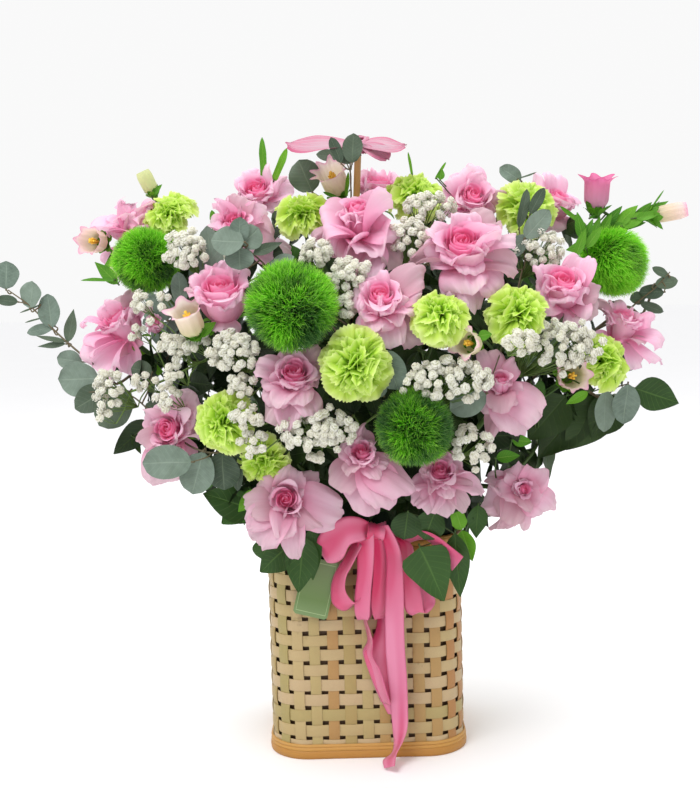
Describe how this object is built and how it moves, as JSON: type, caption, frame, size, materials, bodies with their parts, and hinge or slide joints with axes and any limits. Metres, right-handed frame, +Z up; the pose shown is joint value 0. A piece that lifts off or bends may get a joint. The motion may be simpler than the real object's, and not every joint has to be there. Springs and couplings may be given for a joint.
{
  "type": "flower basket arrangement",
  "caption": "Woven bamboo basket filled with pink roses, lime carnations, green dianthus balls, bellflowers and foliage in floral foam, with a ribbon bow at the front.",
  "frame": {"origin": "middle of the basket's underside, on the surface that it stands on", "axes": "+X to the viewer's right along the basket's wide side, +Y from the bow at the front to the back, +Z up"},
  "size_m": [0.6996, 0.4203, 0.6062],
  "materials": {
    "bamboo_weave": "satin",
    "bamboo_band": "satin",
    "liner_film": "satin",
    "floral_foam": "matte",
    "satin_ribbon": "satin",
    "tag_card": "matte",
    "bamboo_stick": "satin",
    "orchid_petal": "matte",
    "rose": "matte",
    "carnation": "matte",
    "green_ball": "matte",
    "bellflower": "matte",
    "babys_breath": "matte",
    "eucalyptus": "matte",
    "broad_leaf": "satin"
  },
  "bodies": {
    "root": {"basket_wall": "bamboo_weave", "basket_floor": "bamboo_weave", "basket_base_band": "bamboo_band", "basket_rim": "bamboo_band", "basket_liner": "liner_film", "floral_foam": "floral_foam", "ribbon_bow": "satin_ribbon", "tag_card": "tag_card", "orchid_stick": "bamboo_stick", "bow_pick": "bamboo_stick", "orchid_bloom": "orchid_petal", "rose_01": "rose", "rose_02": "rose", "rose_03": "rose", "rose_04": "rose", "rose_05": "rose", "rose_06": "rose", "rose_07": "rose", "rose_08": "rose", "rose_09": "rose", "rose_10": "rose", "rose_11": "rose", "rose_12": "rose", "rose_13": "rose", "rose_14": "rose", "rose_15": "rose", "rose_16": "rose", "rose_17": "rose", "rose_18": "rose", "rose_19": "rose", "rose_20": "rose", "carnation_01": "carnation", "carnation_02": "carnation", "carnation_03": "carnation", "carnation_04": "carnation", "carnation_05": "carnation", "carnation_06": "carnation", "carnation_07": "carnation", "carnation_08": "carnation", "carnation_09": "carnation", "carnation_10": "carnation", "green_ball_01": "green_ball", "green_ball_02": "green_ball", "green_ball_03": "green_ball", "green_ball_04": "green_ball", "bellflower_left": "bellflower", "bellflower_top": "bellflower", "bellflower_right": "bellflower", "bellflower_front": "bellflower", "babys_breath_left": "babys_breath", "babys_breath_top": "babys_breath", "babys_breath_front": "babys_breath", "babys_breath_right": "babys_breath", "eucalyptus_left": "eucalyptus", "eucalyptus_top": "eucalyptus", "eucalyptus_right": "eucalyptus", "eucalyptus_back": "eucalyptus", "broad_leaves_left": "broad_leaf", "broad_leaves_right": "broad_leaf", "broad_leaves_back": "broad_leaf"}
  },
  "joints": []
}
